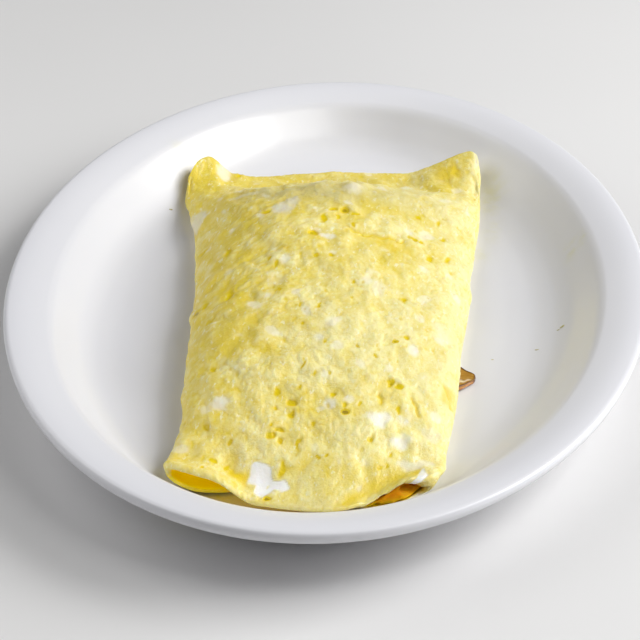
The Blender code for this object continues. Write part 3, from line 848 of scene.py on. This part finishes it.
    inside = np.zeros(len(V))
    inside[n_out + n_lip:] = np.tile(1.0 - 0.85 * smoothstep(0.80, 0.92, s), INNER_ROWS)
    # a dark line on the inner side of the lip and the first inner rows over the arch
    arch_dark_line = np.zeros(len(V))
    over_arch = (smoothstep(0.36, 0.48, s) * (1.0 - smoothstep(0.92, 0.97, s)) * upper)
    left = (1.0 - smoothstep(-0.2, 0.1, s))
    for k in range(len(lip)):
        t = (k + 1) / (len(lip) + 1)
        part = slice(n_out + k * around, n_out + (k + 1) * around)
        inside[part] = 0.5 * float(smoothstep(0.65, 1.0, t))
        # the loop's lower lip takes the inside's orange and glow too: painted light through the sheet
        inside[part] = np.maximum(inside[part], np.where(upper, 0.0, 0.75) * left)
        arch_dark_line[part] = over_arch * float(smoothstep(0.72, 0.95, t))
    first = slice(n_out + n_lip, n_out + n_lip + 2 * around)
    arch_dark_line[first] = np.tile(over_arch, 2) * 0.9

    def full(values):
        out = np.zeros(len(V))
        out[:n_out] = values.reshape(-1)
        for k in range(len(lip)):
            keep = np.maximum(1 - (k + 1) / turns, smoothstep(0.78, 0.86, s))
            out[n_out + k * around:n_out + (k + 1) * around] = values[0] * keep
        return out
    set_attribute(obj, "white", full(white))
    set_attribute(obj, "grey_and_shade", full(grey_and_shade))
    set_attribute(obj, "yolk_and_shade", full(yolk_and_shade))
    set_attribute(obj, "dull_and_shade", full(dull_and_shade))
    set_attribute(obj, "pit", full(pit))
    pale_all = full(paleness_and_light)
    pale_all[n_out:n_out + n_lip] = 0.6
    set_attribute(obj, "paleness_and_light", pale_all)
    set_attribute(obj, "inside", inside)
    across = np.tile(s, len(V) // around)
    set_attribute(obj, "glow", inside * (1.0 - smoothstep(-0.15, 0.15, across)))
    set_attribute(obj, "arch_dark_line", arch_dark_line)
    obj.data.materials.append(egg_material())
    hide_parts("omelette")
    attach(obj, "root")
    return obj


# ------------------------------------------------------------------ filling
def filling_material():
    n = Nodes("amber_filling")
    b = n.bsdf
    a = n.noise(120.0, 4.0, 0.6)
    f = n.noise(520.0, 4.0, 0.6)
    low = n.attribute("low")
    col = n.mix(n.remap(a, 0.35, 0.65), (0.78, 0.25, 0.000), (0.88, 0.33, 0.000))
    col = n.mix(n.remap(f, 0.58, 0.75, 0.0, 0.4), col, (0.56, 0.14, 0.001))
    col = n.mix(low, col, (0.94, 0.58, 0.006))
    n.link(col, b.inputs["Base Color"])
    b.inputs["Roughness"].default_value = 0.5
    b.inputs["Specular IOR Level"].default_value = 0.12
    b.inputs["Subsurface Weight"].default_value = 0.6
    b.inputs["Subsurface Radius"].default_value = (1.0, 0.6, 0.1)
    b.inputs["Subsurface Scale"].default_value = 0.0025
    n.link(n.bump(f, 0.0005, 0.6), b.inputs["Normal"])
    return n.mat


FILL_RECESS_L, FILL_RECESS_R = 46.0, 0.4


def make_filling():
    cnt_t, cnt_l, rows = 90, 40, 80
    s_top = even_spread(cnt_t, 2.5, 44.0, 14.0)
    s_low = -even_spread(cnt_l, 3.0, 44.0, 4.0)
    s = np.concatenate([s_top, s_low])
    upper = np.concatenate([np.ones(cnt_t, bool), np.zeros(cnt_l, bool)])
    around = cnt_t + cnt_l
    end = CAVITY_END - 0.09
    recess = FILL_RECESS_R + (FILL_RECESS_L - FILL_RECESS_R) * (1.0 - smoothstep(-0.35, 0.66, s))
    start = recess / 205.0
    t = np.linspace(0.0, 1.0, rows)[:, None]
    v = start[None, :] + (end - start[None, :]) * t
    rim = np.where(upper, 1.75, 1.0)[None, :]
    inset = rim + (3.6 - rim) * smoothstep(0.0, 0.16, v)
    P = packet_point(s[None, :], upper[None, :], v, inset)
    middle = 0.5 * (through(LEFT_FOLD, v) + through(RIGHT_FOLD, v))
    P[..., 0] = middle + (P[..., 0] - middle) * (1.0 - 0.10 * smoothstep(0.08, 0.25, v))
    lump = NoiseMap(6.0, 31)
    P[..., 1] += (0.4 * lump(P[..., 0] + 80, P[..., 2] * 3 + 40)) * (1 - smoothstep(0.0, 0.06, t))
    faces = quads(rows, around)
    V = [P.reshape(-1, 3)]
    base = rows * around

    def cap(ring, prev, sign, depth):
        """Rounds an end: rings that close towards the section's middle line."""
        nonlocal base
        order = np.argsort(s[cnt_t:])
        pair = np.concatenate([
            np.interp(s[:cnt_t], s[cnt_t:][order], ring[cnt_t:, 2][order]),
            np.interp(s[cnt_t:], s[:cnt_t], ring[:cnt_t, 2])])
        middle = 0.5 * (ring[:, 2] + pair)
        for part in (0.85, 0.6, 0.3):
            k = ring.copy()
            k[:, 2] = middle + (ring[:, 2] - middle) * part
            k[:, 1] += sign * depth * math.sqrt(1 - part * part)
            V.append(k)
            cur = np.arange(base, base + around)
            for j in range(around):
                jj = (j + 1) % around
                q = (cur[j], cur[jj], prev[jj], prev[j])
                faces.append(q if sign < 0 else q[::-1])
            prev = cur
            base += around
        return int(prev[0])
    first = cap(P[0], np.arange(around), -1.0, 0.9)
    last = cap(P[-1], np.arange((rows - 1) * around, rows * around), 1.0, 2.0)
    faces.extend(close_ring(s_top, s_low, first, True))
    faces.extend(close_ring(s_top, s_low, last, False))
    V = np.concatenate(V)
    obj = new_object("filling_core", V, faces)
    floor = plate_z(V[:, 0], V[:, 1])
    set_attribute(obj, "low", smoothstep(4.2, 1.6, V[:, 2] - floor))
    obj.data.materials.append(filling_material())
    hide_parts("filling")
    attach(obj, "root")
    return obj


# -------------------------------------------------------------------- onion
def onion_material():
    n = Nodes("browned_onion")
    b = n.bsdf
    f = n.noise(700.0, 4.0, 0.6)
    streak_and_highlight = n.noise(500.0, 3.0, 0.6, n.mapping((0.35, 1.6, 1.0), (0, 0, 0.35)))
    edge = n.attribute("edge")
    side = n.attribute("side")
    col = n.mix(n.remap(streak_and_highlight, 0.35, 0.65), (0.38, 0.190, 0.026), (0.49, 0.275, 0.050))
    col = n.mix(n.remap(f, 0.60, 0.74, 0.0, 0.4), col, (0.62, 0.44, 0.18))
    col = n.mix(side, col, (0.55, 0.21, 0.020))
    # pale streak on the top of the free end: painted highlight of the glossy sliver
    col = n.mix(n.attribute("streak_and_highlight"), col, (0.93, 0.86, 0.66))
    col = n.mix(edge, col, (0.085, 0.030, 0.010))
    n.link(col, b.inputs["Base Color"])
    b.inputs["Roughness"].default_value = 0.22
    b.inputs["Subsurface Weight"].default_value = 0.25
    b.inputs["Subsurface Radius"].default_value = (1.0, 0.55, 0.2)
    b.inputs["Subsurface Scale"].default_value = 0.0008
    b.inputs["Coat Weight"].default_value = 0.6
    b.inputs["Coat Roughness"].default_value = 0.08
    n.link(n.bump(f, 0.0004, 0.5), b.inputs["Normal"])
    return n.mat


ONION_Y, ONION_HALF = -33.0, 6.2
ONION_FROM, ONION_EDGE, ONION_TIP = 39.5, 45.4, 50.6
ONION_T, ONION_T_HIDDEN = 2.3, 1.0


def make_onion():
    stations, count = 56, 56
    verts, edge, side, streak_and_highlight = [], [], [], []
    for k in range(stations):
        t = k / (stations - 1)
        x = ONION_FROM + (ONION_TIP - ONION_FROM) * t
        free = np.clip((x - ONION_EDGE) / (ONION_TIP - ONION_EDGE), 0, 1)
        half = ONION_HALF * (1.0 - 0.78 * free)
        grow = float(smoothstep(ONION_FROM, ONION_EDGE, x))
        thick = (ONION_T_HIDDEN + (ONION_T - ONION_T_HIDDEN) * grow) * (1.0 - 0.25 * free)
        shut = math.sqrt(max(0.0, 1 - ((t - 0.93) / 0.07) ** 2)) if t > 0.93 else 1.0
        shut = max(shut, 0.05)
        a = 2 * math.pi * (np.arange(count) + 0.5) / count
        c, sn = np.cos(a), np.sin(a)
        across = half * np.abs(c) ** 0.6 * np.sign(c) * (0.55 + 0.45 * shut)
        up = 0.5 * thick * (1.0 + np.abs(sn) ** 0.6 * np.sign(sn) * shut)
        y = ONION_Y + 1.2 * free + across + 0.25 * np.sin(x * 1.3)
        z = plate_z(np.full(count, x), y) + REST_GAP + up
        z = z + (0.45 * (np.abs(c) ** 4) - 0.25 * (1 - np.abs(c)) * grow) * (sn > 0.2) * shut
        verts.append(np.stack([np.full(count, x), y, z], -1))
        line = smoothstep(0.66, 0.86, np.abs(c)) * (1.0 - smoothstep(0.95, 0.99, np.abs(c)))
        line = np.where(c > 0.0, smoothstep(0.60, 0.80, c), line) * (sn > -0.3)
        edge.append(np.maximum(0.95 * line, 0.9 * float(smoothstep(0.91, 0.975, t)) * (sn > -0.2)))
        # a narrow pale line on the top of the free end: painted highlight
        place = (c + 0.30 + 0.05 * math.sin(3.1 * x)) / 0.11
        reach = float(smoothstep(45.2, 46.0, x) * (1.0 - smoothstep(48.6, 49.6, x)))
        streak_and_highlight.append(0.85 * np.exp(-place ** 2) * reach * (sn > 0.0))
        side.append(smoothstep(0.90, 0.98, np.abs(c)) * (sn < 0.45))
    V = np.concatenate(verts)
    faces = quads(stations, count)
    faces.append(list(range(count))[::-1])
    faces.append(list(range((stations - 1) * count, stations * count)))
    obj = new_object("onion_sliver", V, faces)
    set_attribute(obj, "edge", np.concatenate(edge))
    set_attribute(obj, "side", np.concatenate(side))
    set_attribute(obj, "streak_and_highlight", np.concatenate(streak_and_highlight))
    obj.data.materials.append(onion_material())
    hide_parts("onion_piece")
    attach(obj, "root")
    return obj


# ------------------------------------------------------- crumbs on the plate
# x, y, half length, half width, height, turn (all in mm and degrees)
CRUMBS = (
    (76.2, 2.2, 1.05, 0.42, 0.30, 38.0), (75.0, 1.0, 0.40, 0.26, 0.20, 10.0),
    (68.8, -9.5, 0.62, 0.28, 0.20, 15.0), (55.0, -17.0, 0.40, 0.24, 0.16, 0.0), (-64.6, 57.5, 0.60, 0.35, 0.22, 40.0))


def make_crumbs():
    """Tiny flecks of set egg, each a squashed and lumpy closed blob."""
    rng = np.random.default_rng(5)
    ring, levels = 12, 7
    verts, faces, base = [], [], 0
    for cx, cy, lx, ly, h, turn in CRUMBS:
        rot = math.radians(turn)
        phase = rng.uniform(0, 2 * math.pi, 3)
        ang = np.linspace(0, 2 * math.pi, ring, endpoint=False)
        wob = 1.0 + 0.22 * np.sin(2 * ang + phase[0]) + 0.12 * np.sin(3 * ang + phase[1])
        rows = []
        for k in range(1, levels):
            el = -0.5 * math.pi + math.pi * k / levels
            r = math.cos(el) * wob
            px, py = lx * r * np.cos(ang), ly * r * np.sin(ang)
            gx = cx + px * math.cos(rot) - py * math.sin(rot)
            gy = cy + px * math.sin(rot) + py * math.cos(rot)
            gz = plate_z(gx, gy) + 0.02 + 0.5 * h * (1.0 + math.sin(el))
            rows.append(np.stack([gx, gy, gz], -1))
        ground = float(plate_z(cx, cy))
        body = np.concatenate(rows + [np.array([[cx, cy, ground + 0.02]]),
                                      np.array([[cx, cy, ground + 0.02 + h]])])
        verts.append(body)
        faces += quads(len(rows), ring, start=base)
        low, top = base + len(rows) * ring, base + len(rows) * ring + 1
        last = base + (len(rows) - 1) * ring
        for j in range(ring):
            jj = (j + 1) % ring
            faces.append((low, base + jj, base + j))
            faces.append((top, last + j, last + jj))
        base += len(body)
    obj = new_object("egg_crumbs", np.concatenate(verts), faces)
    n = Nodes("crumb")
    f = n.noise(1500.0, 2.0, 0.5)
    n.link(n.mix(n.remap(f, 0.4, 0.6), (0.60, 0.56, 0.30), (0.50, 0.44, 0.18)),
           n.bsdf.inputs["Base Color"])
    n.bsdf.inputs["Roughness"].default_value = 0.5
    n.link(n.bump(f, 0.0002, 0.4), n.bsdf.inputs["Normal"])
    obj.data.materials.append(n.mat)
    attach(obj, "root")
    return obj


# ------------------------------------------------------------ stage, lights
def floor_material():
    n = Nodes("pale_floor")
    b = n.bsdf
    f = n.noise(3.0, 2.0, 0.5)
    n.link(n.mix(n.remap(f, 0.3, 0.7), (0.74, 0.735, 0.73), (0.78, 0.775, 0.77)), b.inputs["Base Color"])
    b.inputs["Roughness"].default_value = 0.6
    return n.mat


def make_stage():
    bpy.ops.mesh.primitive_plane_add(size=8.0, location=(0, 0, -0.0002))
    floor = bpy.context.object
    floor.name = "floor"
    floor.data.materials.append(floor_material())


def area(name, around, height, size, energy, colour=(1, 1, 1), distance=1.2):
    """A square lamp aimed at the food; angles in degrees, around from +X."""
    light = bpy.data.lights.new(name, "AREA")
    light.energy = energy
    light.color = colour
    light.size = size
    a, e = math.radians(around), math.radians(height)
    away = Vector((math.cos(a) * math.cos(e), math.sin(a) * math.cos(e), math.sin(e)))
    obj = bpy.data.objects.new(name, light)
    obj.location = away * distance
    obj.rotation_euler = (obj.location - Vector((0, 0, 0.02))).to_track_quat("Z", "Y").to_euler()
    scene.collection.objects.link(obj)
    return obj


def make_lights():
    area("key", 15, 36, 0.80, 16.5)
    area("kicker", -30, 55, 0.45, 2.9)
    area("fill", 180, 38, 1.2, 7.4)
    world = bpy.data.worlds.new("studio")
    scene.world = world
    world.use_nodes = True
    bg = world.node_tree.nodes["Background"]
    bg.inputs["Color"].default_value = (1.0, 1.0, 1.0, 1.0)
    bg.inputs["Strength"].default_value = 0.03


make_camera()
make_plate()
make_omelette()
make_filling()
make_onion()
make_crumbs()
make_stage()
make_lights()
scene.view_settings.view_transform = "Standard"
scene.view_settings.look = "None"
